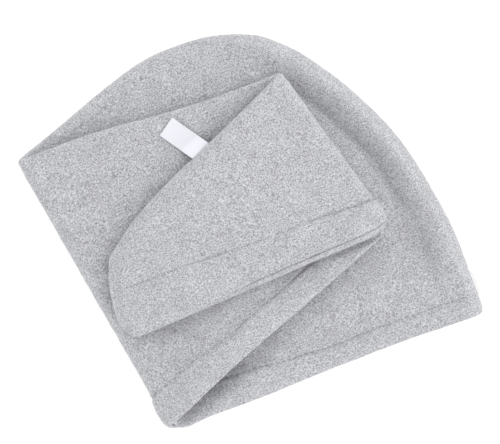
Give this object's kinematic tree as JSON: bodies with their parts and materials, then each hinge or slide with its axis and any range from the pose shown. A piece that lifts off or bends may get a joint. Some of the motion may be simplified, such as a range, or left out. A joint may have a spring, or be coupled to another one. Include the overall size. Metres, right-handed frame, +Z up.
{
  "type": "hair turban towel",
  "caption": "Folded plush towelling hair turban: a rounded hood, open along its hemmed side, with its tapering tail laid back over it, a small side label and a nape button.",
  "frame": {"origin": "under the middle of the folded towel, on the surface that it lies on", "axes": "+X along the hood's hem towards the nape, -Y out of the open side, +Z up"},
  "size_m": [0.2766, 0.2542, 0.0312],
  "materials": {
    "towelling": "short plush pile, matt",
    "label_satin": "white satin",
    "button_white": "white, glossy"
  },
  "bodies": {
    "root": {"back_panel": "towelling", "front_panel": "towelling", "side_label": "label_satin", "button": "button_white"}
  },
  "joints": []
}
